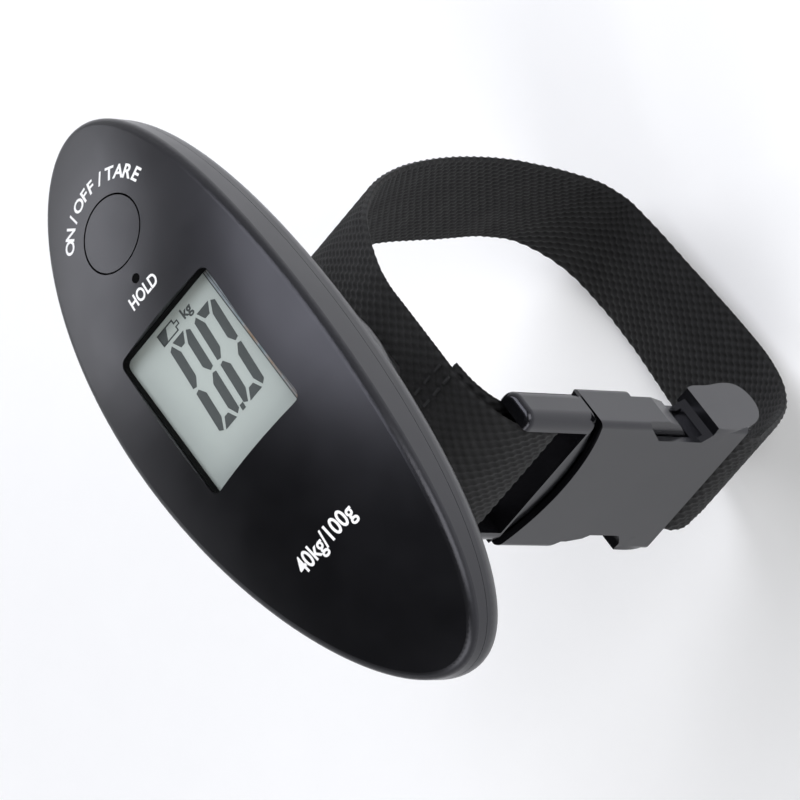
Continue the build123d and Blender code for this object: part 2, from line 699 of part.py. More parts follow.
# ---------------------------------------------------------------- buckle
Y_OUT = BUCKLE_Y - BUCKLE_THICK / 2
Y_IN = BUCKLE_Y + BUCKLE_THICK / 2
CAVITY_HALF = HALF_BUCKLE - 2.6
CAVITY_Y = 3.5
PRONG_HALF = 3.2
PRONG_ROOT_X = 8.6
PRONG_ROOT_Z = -73.5
HEAD_FACE_Z = -87.2
HEAD_TIP_Z = -102.5
NOTCH_X = 12.7            # half width of the sleeve between the catch and the ears
NOTCH_END = -108.5
MOUTH_R = 30.5
MOUTH_CENTRE = MOUTH_Z + 26.5
MALE_END = MOUTH_CENTRE - 24.9
COVER_PLATE = 1.8
SLOT_HALF = WEB_WIDE / 2 + 0.7
# Side outline of an ear as (y, z)
EAR = [
    (-20.8, -107.0), (-20.9, -114.5), (-19.4, -121.5), (-16.4, -126.6), (-12.6, -128.4),
    (-9.6, -127.4), (-8.4, -123.2), (-9.4, -115.0), (-11.6, -107.0),
]


def buckle_profile(points, y0, y1):
    """Plate cut to an outline in the XZ plane, between two depths."""
    face = make_face(Polyline([(x, z) for x, z in points], close=True))
    return Pos(0, y1, 0) * Rot(90, 0, 0) * extrude(face, y1 - y0)


def make_female():
    """Receiving half: hollow sleeve, notched sides for the catches, web bars and ears."""
    half = HALF_BUCKLE
    body = box(-half, half, Y_OUT, Y_IN, FEMALE_END, MOUTH_Z + 4)
    body = fillet(body.edges().filter_by(Axis.Z), 1.2)
    body -= extrude(Plane.XZ * (Pos(0, MOUTH_CENTRE) * Circle(MOUTH_R)), 40, both=True)
    # hollow for the prongs
    low_y = BUCKLE_Y - CAVITY_Y
    high_y = BUCKLE_Y + CAVITY_Y
    body -= box(-CAVITY_HALF, CAVITY_HALF, low_y, high_y, -105, -60)
    # side notches that bare the catch heads
    for sx in (-1, 1):
        notch = [
            (half + 1, HEAD_FACE_Z + 0.3), (half - 0.6, HEAD_FACE_Z + 0.3), (NOTCH_X, -92.5),
            (NOTCH_X, NOTCH_END + 2.0), (NOTCH_X + 2.0, NOTCH_END), (half + 1, NOTCH_END),
        ]
        body -= buckle_profile([(sx * x, z) for x, z in notch], Y_OUT - 1, Y_IN + 1)
        x0, x1 = sorted((sx * (NOTCH_X - 0.5), sx * (half + 1)))
        body -= box(x0, x1, low_y, high_y, NOTCH_END + 1.2, HEAD_FACE_Z + 0.3)
    # slots either side of the middle web bar, open towards the hand only
    inner = Y_OUT + COVER_PLATE
    body -= box(-SLOT_HALF, SLOT_HALF, inner, Y_IN + 1, FEMALE_END - 1, -116.5)
    body -= box(-SLOT_HALF, SLOT_HALF, inner, Y_IN + 1, -112.5, -109.0)
    # ears and the end bar
    for sx in (-1, 1):
        x0 = SLOT_HALF if sx > 0 else -half
        side = make_face(Plane.YZ.offset(x0) * Spline(EAR, periodic=True))
        ear = extrude(side, half - SLOT_HALF)
        body += ear - box(-40, 40, -40, 0, NOTCH_END, -60)
    body += cross_rod(BUCKLE_Y, -124.3, SLOT_HALF + 0.5, BAR_ROD)
    return body


def make_male():
    """Inserting half: web bar between two arms, a shoulder, and a guide tongue."""
    half = HALF_BUCKLE
    y0 = Y_OUT + 0.6
    y1 = Y_IN - 0.6
    frame = box(-half, half, y0, y1, MALE_END, MALE_TOP)
    frame = fillet(frame.edges().filter_by(Axis.Z), 2.6)
    frame = fillet(frame.faces().sort_by(Axis.Z)[-1].edges(), 1.4)
    frame -= box(-SLOT_HALF, SLOT_HALF, y0 - 1, y1 + 1, MALE_END + 0.6, MALE_TOP + 1)
    # rounded shoulder that seats in the concave mouth
    keep = extrude(Plane.XZ * (Pos(0, MOUTH_CENTRE) * Circle(MOUTH_R - 1.1)), 40, both=True)
    nose = box(-half, half, y0 + 0.6, y1 - 0.6, MALE_END - 9, MALE_END + 0.6) & keep
    frame += nose
    frame += cross_rod(BUCKLE_Y, -60.5, SLOT_HALF + 0.5, BAR_ROD)
    tongue = box(-1.6, 1.6, BUCKLE_Y - 2.4, BUCKLE_Y + 2.4, -92.0, MALE_END - 3)
    frame += tongue
    # pockets for the roots of the prongs
    for sx in (-1, 1):
        x0, x1 = sorted((sx * (PRONG_ROOT_X - 2.0), sx * (PRONG_ROOT_X + 3.6)))
        pocket = box(x0, x1, BUCKLE_Y - 3.3, BUCKLE_Y + 3.3, -80.0, PRONG_ROOT_Z + 2.0)
        frame -= pocket
    return frame


def make_prong(side):
    """Springy prong with a catch head that fills the side notch."""
    head_out = HALF_BUCKLE - 0.3
    root = PRONG_ROOT_X
    outline = [
        (root - 1.3, PRONG_ROOT_Z + 1.6), (root + 1.1, PRONG_ROOT_Z + 1.6),
        (root + 3.4, HEAD_FACE_Z), (head_out, HEAD_FACE_Z), (head_out, -94.0),
        (head_out - 0.9, -98.5), (head_out - 3.2, HEAD_TIP_Z), (root + 0.9, HEAD_TIP_Z),
        (root + 0.3, HEAD_FACE_Z + 1.0),
    ]
    points = [(side * x, z) for x, z in outline]
    return buckle_profile(points, BUCKLE_Y - PRONG_HALF, BUCKLE_Y + PRONG_HALF)


NODES = [
    ("front_cover", make_front_cover),
    ("rear_cover", make_rear_cover),
    ("lcd_window", make_window),
    ("lcd_panel", make_panel),
    ("lcd_reflector", make_reflector),
    ("contact_strips", make_contact_strips),
    ("lcd_frame", make_display_frame),
    ("button_cap", make_button_cap),
    ("switch_base", make_switch_base),
    ("switch_plunger", make_switch_plunger),
    ("hold_lens", make_hold_lens),
    ("hold_lamp", make_hold_lamp),
    ("circuit_board", make_board),
    ("board_screws", make_board_screws),
    ("chip_cap", make_chip),
    ("small_parts", make_small_parts),
    ("crystal", make_crystal),
    ("coin_cell", make_coin_cell),
    ("positive_contact", make_positive_contact),
    ("negative_contact", make_negative_contact),
    ("battery_cap", make_battery_cap),
    ("case_screws", make_case_screws),
    ("load_cell", make_load_cell),
    ("bar_screws", make_bar_screws),
    ("strain_gauges", make_gauges),
    ("clevis", make_clevis),
    ("clevis_screw", make_clevis_screw),
    ("swing_pin", make_pin),
    ("load_link", make_link),
    ("clamp_plate", make_clamp_plate),
    ("rivets", make_rivets),
    ("webbing", make_webbing),
    ("stitching", make_stitching),
    ("buckle_female", make_female),
    ("buckle_male", make_male),
    ("prong_right", lambda: make_prong(1)),
    ("prong_left", lambda: make_prong(-1)),
]


main()
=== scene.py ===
"""Looks of the digital luggage scale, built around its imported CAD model.

The frame is the model's own: X across the oval housing, Y along it towards the button, Z out
of the display face. Sizes of the object, with the grain of its finishes, are in millimetres
and are scaled by MM. The camera, the lights, the floor and noise_at work in metres.
"""

import math

import bpy
from mathutils import Matrix, Vector


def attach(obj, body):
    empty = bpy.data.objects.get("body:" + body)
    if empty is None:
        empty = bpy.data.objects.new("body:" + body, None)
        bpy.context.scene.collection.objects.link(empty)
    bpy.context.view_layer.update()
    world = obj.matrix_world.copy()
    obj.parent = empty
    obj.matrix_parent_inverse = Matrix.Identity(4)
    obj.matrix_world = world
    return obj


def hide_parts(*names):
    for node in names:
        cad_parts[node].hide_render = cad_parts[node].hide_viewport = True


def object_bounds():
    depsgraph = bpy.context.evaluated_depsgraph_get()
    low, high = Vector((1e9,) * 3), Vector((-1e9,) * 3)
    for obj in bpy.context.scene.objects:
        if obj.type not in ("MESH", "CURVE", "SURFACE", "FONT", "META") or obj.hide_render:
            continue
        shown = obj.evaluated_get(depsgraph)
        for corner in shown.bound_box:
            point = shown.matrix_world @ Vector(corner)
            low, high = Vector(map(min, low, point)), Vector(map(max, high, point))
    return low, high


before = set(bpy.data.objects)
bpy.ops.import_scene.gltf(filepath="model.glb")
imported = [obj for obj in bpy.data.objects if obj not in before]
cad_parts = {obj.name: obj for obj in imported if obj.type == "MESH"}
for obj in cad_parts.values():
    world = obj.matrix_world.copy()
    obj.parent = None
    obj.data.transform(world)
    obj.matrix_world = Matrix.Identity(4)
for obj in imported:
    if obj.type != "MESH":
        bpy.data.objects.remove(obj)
CAD_BOX = [list(corner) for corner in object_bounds()]
MM = 0.001

# ---------------------------------------------------------------- sizes shared with the CAD
BODY_LENGTH = 130.0
BODY_WIDTH = 48.6
FACE_RISE = 11.8          # middle of the display face above the parting line
FACE_DROP_LONG = 13.2     # fall of the face from its middle to the ends
FACE_DROP_CROSS = 3.8     # and to the sides
OPENING_Y = 2.9
OPENING_WIDE = 25.6
OPENING_LONG = 32.4
OPENING_ROUND = 1.6
WINDOW_TOP = 7.9
BUTTON_Y = 39.4
WEB_WIDE = 25.0
WEB_THICK = 1.5
CLAMP_Z = -43.6

FACE_R_LONG = (BODY_LENGTH / 2) ** 2 / (2 * FACE_DROP_LONG)
FACE_R_CROSS = (BODY_WIDTH / 2) ** 2 / (2 * FACE_DROP_CROSS)


def face_height(x, y):
    """Height of the crowned display face."""
    sag = FACE_R_CROSS - math.sqrt(FACE_R_CROSS ** 2 - x * x)
    radius = FACE_R_LONG - sag
    return FACE_RISE - FACE_R_LONG + math.sqrt(radius * radius - y * y)


# ---------------------------------------------------------------- camera
CAMERA_PLACE = (0.516, -0.5339, 0.9572)
CAMERA_RIGHT = (0.58937, -0.54606, -0.59537)
CAMERA_UP = (0.69404, 0.71942, 0.02722)
CAMERA_BACK = (0.41346, -0.42925, 0.80299)
CAMERA_LENS = 308.39
CAMERA_SENSOR = 36.0
CAMERA_SHIFT = (0.0016, -0.0085)
CAMERA_NEAR = 0.05
CAMERA_FAR = 50.0


def make_camera():
    data = bpy.data.cameras.new("camera")
    data.sensor_width = CAMERA_SENSOR
    data.lens = CAMERA_LENS
    data.shift_x, data.shift_y = CAMERA_SHIFT
    data.clip_start = CAMERA_NEAR
    data.clip_end = CAMERA_FAR
    camera = bpy.data.objects.new("camera", data)
    bpy.context.scene.collection.objects.link(camera)
    turn = Matrix((CAMERA_RIGHT, CAMERA_UP, CAMERA_BACK)).transposed()
    camera.matrix_world = Matrix.Translation(CAMERA_PLACE) @ turn.to_4x4()
    bpy.context.scene.camera = camera


# ---------------------------------------------------------------- light and floor
# Softboxes: name, direction from the housing, distance, width, height, brightness, colour
SOFTBOXES = [
    ("softbox_over", (0.30, 0.42, 0.86), 1.3, 1.05, 0.95, 4.3, (0.93, 0.94, 1.0)),
    ("softbox_far", (-0.50, 0.76, 0.42), 1.3, 0.75, 0.5, 3.0, (0.96, 0.97, 1.0)),
    ("softbox_right", (0.80, -0.42, 0.50), 1.4, 0.9, 0.9, 3.6, (1, 1, 1)),
    ("softbox_front", (-0.25, -0.85, 0.55), 1.4, 1.0, 0.7, 3.4, (1, 1, 1)),
]

# The studio's surround is pale up to a low height and dark above it, by direction
PALE_HEIGHT = 0.22
PALE_COLOUR = (0.92, 0.93, 0.95)
DARK_HEIGHT = 0.62
DARK_COLOUR = (0.02, 0.02, 0.022)

FLOOR_HALF = 3.0
FLOOR_GAP = 0.0005        # between the floor and the lowest point of the CAD model


def soft_light(name, direction, distance, wide, tall, brightness, colour):
    """A softbox that faces the housing from a direction."""
    data = bpy.data.lights.new(name, "AREA")
    data.shape = "RECTANGLE"
    data.size = wide
    data.size_y = tall
    data.energy = brightness * math.pi * wide * tall
    data.color = colour
    light = bpy.data.objects.new(name, data)
    bpy.context.scene.collection.objects.link(light)
    way = Vector(direction).normalized()
    light.location = way * distance
    light.rotation_mode = "QUATERNION"
    light.rotation_quaternion = (-way).to_track_quat("-Z", "Y")


def make_surround():
    world = bpy.data.worlds.new("studio")
    bpy.context.scene.world = world
    world.use_nodes = True
    nodes = world.node_tree.nodes
    links = world.node_tree.links
    nodes.clear()
    place = nodes.new("ShaderNodeTexCoord")
    split = nodes.new("ShaderNodeSeparateXYZ")
    back = nodes.new("ShaderNodeBackground")
    out = nodes.new("ShaderNodeOutputWorld")
    links.new(place.outputs["Generated"], split.inputs[0])
    colour = ramp_of(nodes, links, split.outputs["Z"], PALE_COLOUR, DARK_COLOUR, PALE_HEIGHT, DARK_HEIGHT)
    links.new(colour, back.inputs[0])
    links.new(back.outputs[0], out.inputs[0])


def make_light():
    for softbox in SOFTBOXES:
        soft_light(*softbox)
    make_surround()
    settings = bpy.context.scene.view_settings
    settings.view_transform = "Standard"
    settings.look = "None"
    settings.exposure = 0.0


def make_floor():
    half = FLOOR_HALF
    level = CAD_BOX[0][2] - FLOOR_GAP
    mesh = bpy.data.meshes.new("floor")
    corners = [(-half, -half, level), (half, -half, level), (half, half, level), (-half, half, level)]
    mesh.from_pydata(corners, [], [(0, 1, 2, 3)])
    floor = bpy.data.objects.new("floor", mesh)
    bpy.context.scene.collection.objects.link(floor)
    mesh.materials.append(plain("floor_pale", (0.94, 0.94, 0.94), 0.6, 400.0, 0.0, vary=0.004))


# ---------------------------------------------------------------- material helpers
MOTTLE_SIZE = 0.012       # broad unevenness of a moulded surface
GLOSS_SPREAD = 0.03       # how far its roughness strays to either side
NOISE_LOW = 0.3           # most noise values lie between these two
NOISE_HIGH = 0.7


def shader(name):
    """A new material with its node list, its links and its Principled shader."""
    mat = bpy.data.materials.new(name)
    mat.use_nodes = True
    nodes = mat.node_tree.nodes
    return mat, nodes, mat.node_tree.links, nodes["Principled BSDF"]


def noise_at(nodes, links, size, detail=2.0, stretch=(1, 1, 1)):
    """Noise with features of about `size` metres."""
    place = nodes.new("ShaderNodeTexCoord")
    mapping = nodes.new("ShaderNodeMapping")
    mapping.inputs["Scale"].default_value = stretch
    noise = nodes.new("ShaderNodeTexNoise")
    noise.inputs["Scale"].default_value = 1.0 / size
    noise.inputs["Detail"].default_value = detail
    noise.inputs["Roughness"].default_value = 0.55
    links.new(place.outputs["Object"], mapping.inputs["Vector"])
    links.new(mapping.outputs[0], noise.inputs["Vector"])
    return noise.outputs["Fac"]


def ramp_of(nodes, links, value, low, high, start=NOISE_LOW, end=NOISE_HIGH):
    """A colour ramp between two colours."""
    ramp = nodes.new("ShaderNodeValToRGB")
    ramp.color_ramp.elements[0].position = start
    ramp.color_ramp.elements[0].color = (*low, 1)
    ramp.color_ramp.elements[1].position = end
    ramp.color_ramp.elements[1].color = (*high, 1)
    links.new(value, ramp.inputs[0])
    return ramp.outputs[0]


def spread(nodes, links, value, low, high, start=NOISE_LOW, end=NOISE_HIGH):
    """Maps the values between start and end to a range from low to high."""
    node = nodes.new("ShaderNodeMapRange")
    node.inputs["From Min"].default_value = start
    node.inputs["From Max"].default_value = end
    node.inputs["To Min"].default_value = low
    node.inputs["To Max"].default_value = high
    links.new(value, node.inputs["Value"])
    return node.outputs["Result"]


def bump_of(nodes, links, height, depth):
    """The normal of a surface with small relief."""
    node = nodes.new("ShaderNodeBump")
    node.inputs["Distance"].default_value = depth
    node.inputs["Strength"].default_value = 1.0
    links.new(height, node.inputs["Height"])
    return node.outputs["Normal"]


def math_node(nodes, links, operation, value):
    """A math node fed by one socket; its second input is left to the caller."""
    node = nodes.new("ShaderNodeMath")
    node.operation = operation
    links.new(value, node.inputs[0])
    return node


# ---------------------------------------------------------------- materials
def plain(name, colour, rough, grain, depth, metal=0.0, vary=0.12, tint=(1, 1, 1), **sockets):
    """Moulded or cut surface: mottled colour, uneven gloss and a fine grain.

    The grain's size and depth are in millimetres, and `vary` is how far the colour strays.
    """
    mat, nodes, links, bsdf = shader(name)
    broad = noise_at(nodes, links, MOTTLE_SIZE)
    low = tuple(c * (1 - vary) for c in colour)
    high = tuple(min(1.0, c * (1 + vary)) for c in colour)
    gloss = spread(nodes, links, broad, rough - GLOSS_SPREAD, rough + GLOSS_SPREAD)
    links.new(ramp_of(nodes, links, broad, low, high), bsdf.inputs["Base Color"])
    links.new(gloss, bsdf.inputs["Roughness"])
    if depth:
        fine = noise_at(nodes, links, grain * MM)
        links.new(bump_of(nodes, links, fine, depth * MM), bsdf.inputs["Normal"])
    bsdf.inputs["Metallic"].default_value = metal
    bsdf.inputs["Specular Tint"].default_value = (*tint, 1)
    for socket, value in sockets.items():
        bsdf.inputs[socket.replace("_", " ")].default_value = value
    return mat


PANE_COLOUR = (0.30, 0.33, 0.32, 1)
PANE_ALPHA = 0.08
PANE_SMOOTH = 0.03        # least and greatest roughness of the pane's skin
PANE_DULL = 0.05
PANE_MOTTLE = 0.02
ACRYLIC_IOR = 1.49


def clear(name):
    """A clear acrylic pane: mostly see-through, with the gloss of its skin."""
    mat, nodes, links, bsdf = shader(name)
    broad = noise_at(nodes, links, PANE_MOTTLE)
    links.new(spread(nodes, links, broad, PANE_SMOOTH, PANE_DULL), bsdf.inputs["Roughness"])
    bsdf.inputs["Base Color"].default_value = PANE_COLOUR
    bsdf.inputs["Alpha"].default_value = PANE_ALPHA
    bsdf.inputs["IOR"].default_value = ACRYLIC_IOR
    return mat


# Colours of the painted iridescent reflection on the window's bevelled edge
EDGE_GLINT_STRETCH = (0.2, 1.0, 0.2)      # the colours change along the edge, which runs in Y
EDGE_GLINT_TEAL = (0.16, 0.24, 0.25, 1)
EDGE_GLINT_PALE = (0.42, 0.46, 0.50, 1)
EDGE_GLINT_AMBER = (0.38, 0.24, 0.14, 1)


def painted_edge_glint(name):
    """Painted iridescent reflection of the window's bevelled edge: faint colours along its length, put in the
    base colour.
    """
    mat, nodes, links, bsdf = shader(name)
    value = noise_at(nodes, links, 0.004, stretch=EDGE_GLINT_STRETCH)
    ramp = nodes.new("ShaderNodeValToRGB")
    stops = ramp.color_ramp.elements
    stops[0].position = NOISE_LOW
    stops[0].color = EDGE_GLINT_TEAL
    stops[1].position = NOISE_HIGH
    stops[1].color = EDGE_GLINT_AMBER
    middle = stops.new((NOISE_LOW + NOISE_HIGH) / 2)
    middle.color = EDGE_GLINT_PALE
    links.new(value, ramp.inputs[0])
    links.new(ramp.outputs[0], bsdf.inputs["Base Color"])
    bsdf.inputs["Roughness"].default_value = 0.12
    return mat


# Weave of the webbing, shared by its relief and by its colour's painted shade and highlight
FLOAT_LONG = 2.5          # one warp float and the dip behind it, along the webbing
FLOAT_WIDE = 2.08         # two neighbouring yarns, across it
FLOAT_RISE = 0.30         # the surface rises and dips by this much

YARN_SCALE = 4200.0       # features per metre of the twisted fibres
YARN_SQUASH = (1.0, 3.0, 1.0)
YARN_SHARE = 0.42         # fibres' part in the colour, where the painted shade and highlight of the floats is the rest
YARN_DEPTH = 0.00009
DIP_PAINTED_SHADE = 0.22         # share of the webbing's colour deep in the weave, as painted shade
FLOAT_PAINTED_HIGHLIGHT = 2.3        # and on top of a float, as painted highlight


def webbing_finish(name, colour):
    """Black spun yarn: painted shade in the dips and painted highlight on the floats, fine twisted fibres and
    a soft sheen.
    """
    mat, nodes, links, bsdf = shader(name)
    place = nodes.new("ShaderNodeTexCoord")
    mapping = nodes.new("ShaderNodeMapping")
    mapping.inputs["Scale"].default_value = YARN_SQUASH
    links.new(place.outputs["UV"], mapping.inputs["Vector"])
    yarn = nodes.new("ShaderNodeTexNoise")
    yarn.inputs["Scale"].default_value = YARN_SCALE
    yarn.inputs["Detail"].default_value = 3.0
    links.new(mapping.outputs[0], yarn.inputs["Vector"])

    split = nodes.new("ShaderNodeSeparateXYZ")
    links.new(place.outputs["UV"], split.inputs[0])
    waves = []
    for axis, pitch in (("X", FLOAT_WIDE), ("Y", FLOAT_LONG)):
        turns = math_node(nodes, links, "MULTIPLY", split.outputs[axis])
        turns.inputs[1].default_value = 2 * math.pi / (pitch * MM)
        waves.append(math_node(nodes, links, "COSINE", turns.outputs[0]).outputs[0])
    floats = math_node(nodes, links, "MULTIPLY", waves[0])
    links.new(waves[1], floats.inputs[1])
    painted_float_light = spread(nodes, links, floats.outputs[0], 0.0, 1.0, start=-0.8, end=0.9)

    mixed = nodes.new("ShaderNodeMix")
    mixed.data_type = "FLOAT"
    mixed.inputs[0].default_value = YARN_SHARE
    links.new(painted_float_light, mixed.inputs[2])
    links.new(yarn.outputs["Fac"], mixed.inputs[3])
    # painted shade in the weave's dips and painted highlight on its floats, mixed with the fibres' own tones
    low = tuple(c * DIP_PAINTED_SHADE for c in colour)
    high = tuple(c * FLOAT_PAINTED_HIGHLIGHT for c in colour)
    shade = ramp_of(nodes, links, mixed.outputs[0], low, high, start=0.2, end=0.8)
    broad = noise_at(nodes, links, 0.006, detail=3.0)
    links.new(shade, bsdf.inputs["Base Color"])
    links.new(spread(nodes, links, broad, 0.72, 0.86), bsdf.inputs["Roughness"])
    links.new(bump_of(nodes, links, yarn.outputs["Fac"], YARN_DEPTH), bsdf.inputs["Normal"])
    bsdf.inputs["Sheen Weight"].default_value = 0.05
    bsdf.inputs["Sheen Roughness"].default_value = 0.5
    bsdf.inputs["Specular IOR Level"].default_value = 0.30
    return mat


COOL = {"tint": (0.90, 0.90, 1.0)}
METAL = {"metal": 1.0}

# plain() finishes: colour, roughness, size and depth of the grain, and what else they set
PLAIN_FINISHES = {
    "housing_black": ((0.0026, 0.0026, 0.0031), 0.31, 0.30, 0.007, COOL),
    "lcd_glass": ((0.50, 0.55, 0.52), 0.22, 0.6, 0.0, {}),
    "lcd_reflector": ((0.52, 0.575, 0.545), 0.5, 0.08, 0.002, {"vary": 0.015}),
    "contact_rubber": ((0.03, 0.03, 0.03), 0.7, 0.4, 0.01, {}),
    "frame_black": ((0.008, 0.008, 0.009), 0.5, 0.35, 0.01, {}),
    "button_black": ((0.0030, 0.0030, 0.0036), 0.33, 0.26, 0.006, COOL),
    "switch_black": ((0.012, 0.012, 0.013), 0.45, 0.3, 0.01, {}),
    "lens_dark": ((0.004, 0.004, 0.004), 0.18, 0.3, 0.002, {}),
    "lamp_white": ((0.80, 0.80, 0.79), 0.45, 0.15, 0.004, {"vary": 0.04}),
    "board_green": ((0.02, 0.11, 0.045), 0.35, 0.5, 0.006, {}),
    "steel": ((0.56, 0.56, 0.57), 0.30, 0.12, 0.003, METAL),
    "resin_black": ((0.01, 0.01, 0.01), 0.4, 0.3, 0.006, {}),
    "ceramic_tan": ((0.50, 0.38, 0.25), 0.5, 0.2, 0.004, {}),
    "cell_steel": ((0.66, 0.66, 0.67), 0.22, 0.1, 0.002, METAL),
    "contact_nickel": ((0.60, 0.57, 0.50), 0.25, 0.1, 0.002, METAL),
    "bar_aluminium": ((0.72, 0.73, 0.74), 0.34, 0.15, 0.004, METAL),
    "gauge_film": ((0.55, 0.28, 0.05), 0.4, 0.3, 0.003, {}),
    "thread_black": ((0.010, 0.010, 0.011), 0.6, 0.08, 0.02, {}),
    "buckle_black": ((0.0030, 0.0030, 0.0036), 0.22, 0.28, 0.005, COOL),
    "print_white": ((0.86, 0.86, 0.86), 0.55, 0.10, 0.004, {"vary": 0.04}),
    # the sheet of painted shade on the display opening's wall
    "liner_black": ((0.0015, 0.0015, 0.0016), 0.8, 0.3, 0.0, {"Specular_IOR_Level": 0.08}),
    "segment_dark": ((0.030, 0.037, 0.038), 0.45, 0.3, 0.0, {"vary": 0.05}),
}


def make_materials():
    """A finish for each material slot of the record and for the added display pieces."""
    finish = {}
    for name, (colour, rough, grain, depth, extra) in PLAIN_FINISHES.items():
        finish[name] = plain(name, colour, rough, grain, depth, **extra)
    finish["window_clear"] = clear("window_clear")
    # painted iridescent reflection of the window's bevelled edge
    finish["glass_edge"] = painted_edge_glint("glass_edge")
    finish["webbing_black"] = webbing_finish("webbing_black", (0.0062, 0.0062, 0.0066))
    return finish


# ---------------------------------------------------------------- mesh helpers
def mesh_object(name, points, faces, material, body, smooth):
    """A new piece from points in millimetres, riding on a CAD body."""
    mesh = bpy.data.meshes.new(name)
    mesh.from_pydata([Vector(p) * MM for p in points], [], faces)
    mesh.validate()
    for polygon in mesh.polygons:
        polygon.use_smooth = smooth
    mesh.materials.append(material)
    piece = bpy.data.objects.new(name, mesh)
    bpy.context.scene.collection.objects.link(piece)
    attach(piece, body)
    return piece


def rectangle(left, low, right, high):
    return [(left, low), (right, low), (right, high), (left, high)]


def prism(outline, low, high, points, faces):
    """Adds one flat shape of some thickness to a point and face list."""
    start = len(points)
    count = len(outline)
    points.extend((x, y, low) for x, y in outline)
    points.extend((x, y, high) for x, y in outline)
    area = 0.0
    for k in range(count):
        (x0, y0), (x1, y1) = outline[k], outline[(k + 1) % count]
        area += x0 * y1 - x1 * y0
    order = list(range(count)) if area > 0 else list(range(count - 1, -1, -1))
    faces.append([start + count + k for k in order])
    faces.append([start + k for k in reversed(order)])
    for i in range(count):
        a, b = order[i], order[(i + 1) % count]
        faces.append([start + a, start + b, start + count + b, start + count + a])


def flat_piece(name, outlines, low, high, material):
    """One piece of flat shapes between two heights, fixed to the housing."""
    points, faces = [], []
    for outline in outlines:
        prism(outline, low, high, points, faces)
    mesh_object(name, points, faces, material, "housing", False)


# ---------------------------------------------------------------- type
TYPE_WEIGHT = 0.085       # added to each side of a stroke, for bold type
CAPITAL_SHARE = 0.7       # height of a capital as a share of the type's size


def outline_mesh(text, height):
    """Points and faces of flat plain built-in type, in millimetres."""
    curve = bpy.data.curves.new("type", "FONT")
    curve.body = text
    curve.size = height / CAPITAL_SHARE
    curve.resolution_u = 4
    curve.offset = TYPE_WEIGHT
    curve.fill_mode = "FRONT"
    holder = bpy.data.objects.new("type", curve)
    bpy.context.scene.collection.objects.link(holder)
    bpy.context.view_layer.update()
    filled = holder.evaluated_get(bpy.context.evaluated_depsgraph_get())
    mesh = bpy.data.meshes.new_from_object(filled)
    points = [(v.co.x, v.co.y) for v in mesh.vertices]
    faces = [list(p.vertices) for p in mesh.polygons]
    bpy.data.objects.remove(holder)
    bpy.data.curves.remove(curve)
    bpy.data.meshes.remove(mesh)
    return points, faces


def add_thickness(points, faces, bend, thick, all_points, all_faces):
    """Adds flat letters, bent onto a surface, as a thin closed layer."""
    start = len(all_points)
    count = len(points)
    lows = [bend(x, y) for x, y in points]
    all_points.extend(lows)
    all_points.extend((x, y, z + thick) for x, y, z in lows)
    edges = {}
    for face in faces:
        for k, a in enumerate(face):
            edges[(a, face[(k + 1) % len(face)])] = True
    for face in faces:
        all_faces.append([start + count + k for k in face])
        all_faces.append([start + k for k in reversed(face)])
    for a, b in edges:
        if (b, a) not in edges:
            all_faces.append([start + a, start + b, start + count + b, start + count + a])


def written(name, text, material, height, bend, thick):
    """A line of type laid on the housing by a bend function from flat to place."""
    points, faces = outline_mesh(text, height)
    all_points, all_faces = [], []
    add_thickness(points, faces, bend, thick, all_points, all_faces)
    mesh_object(name, all_points, all_faces, material, "housing", False)


# ---------------------------------------------------------------- display
FIELD_LEFT = -13.2
FIELD_RIGHT = 9.95
FIELD_LOW = -13.3
FIELD_HIGH = 20.1
FIELD_BOTTOM = 6.705      # Z of the pale field's two faces
FIELD_TOP = 6.72
SEGMENT_BOTTOM = 6.735    # and of the dark segments'
SEGMENT_TOP = 6.76

ZEROS = ((-2.45, 6.0), (5.0, 6.2))     # middle and width of the two digits of 0.0
DIGIT_LOW = -4.3
DIGIT_HIGH = 15.3
DIGIT_SLANT = 0.085
BAR = 1.95                # width of a segment
BAR_GAP = 0.55            # between two segments
BAR_TIP = 0.45 * BAR      # from a segment's outer edge to its pointed end
TOP_GAP = 0.9 * BAR_GAP   # from a pointed end to the top segment
TIP_RISE = 0.25           # of the point at the waist, towards the other segment
WAIST = 1.9               # inner end of a side segment, above the digit's middle
OUTER_DROP = 0.9          # outer end of a side segment, below the digit's top
TIP_DROP = 0.3            # and its point
CORNER = 0.5              # from a side segment to the inner end of the top one
DECIMAL_POINT = [(0.0, -4.4), (0.95, -4.4), (1.05, -3.2), (0.1, -3.2)]

MARK_LEFT = -5.1          # battery mark
MARK_RIGHT = -0.6
MARK_LOW = 16.0
MARK_HIGH = 18.6
MARK_LINE = 0.28
NUB_LINE = 0.25           # its contact, at the right
NUB_INSET = 0.8
NUB_OUT = 0.9
CHARGE_LOW = 1.25         # width of the filled part along its two edges
CHARGE_HIGH = 2.75

UNIT_X = 1.5
UNIT_Y = 16.5
UNIT_HEIGHT = 2.0
UNIT_THICK = 0.02

# Lines painted for the reflections in the window's bevelled edge: the dark ones are painted shade, the pale
# ones painted glints
EDGE_SHADE_LINES = ((10.0, 10.2, -13.0), (10.62, 10.74, -12.6), (11.05, 11.3, -12.2))   # left, right, low
EDGE_SHADE_HIGH = 19.6
EDGE_GLINT_LINES = ((10.22, 10.60), (10.76, 11.03))                                   # left, right
EDGE_GLINT_LOW = -12.8
EDGE_GLINT_HIGH = 19.5

# Near-black, barely reflective sheet on the display opening's wall: painted shade in the recess
SHADE_SHEET_GAP = 0.03          # to the opening's wall and to the window
SHADE_SHEET_THICK = 0.10
SHADE_SHEET_SINK = 0.22         # its upper edge below the display face


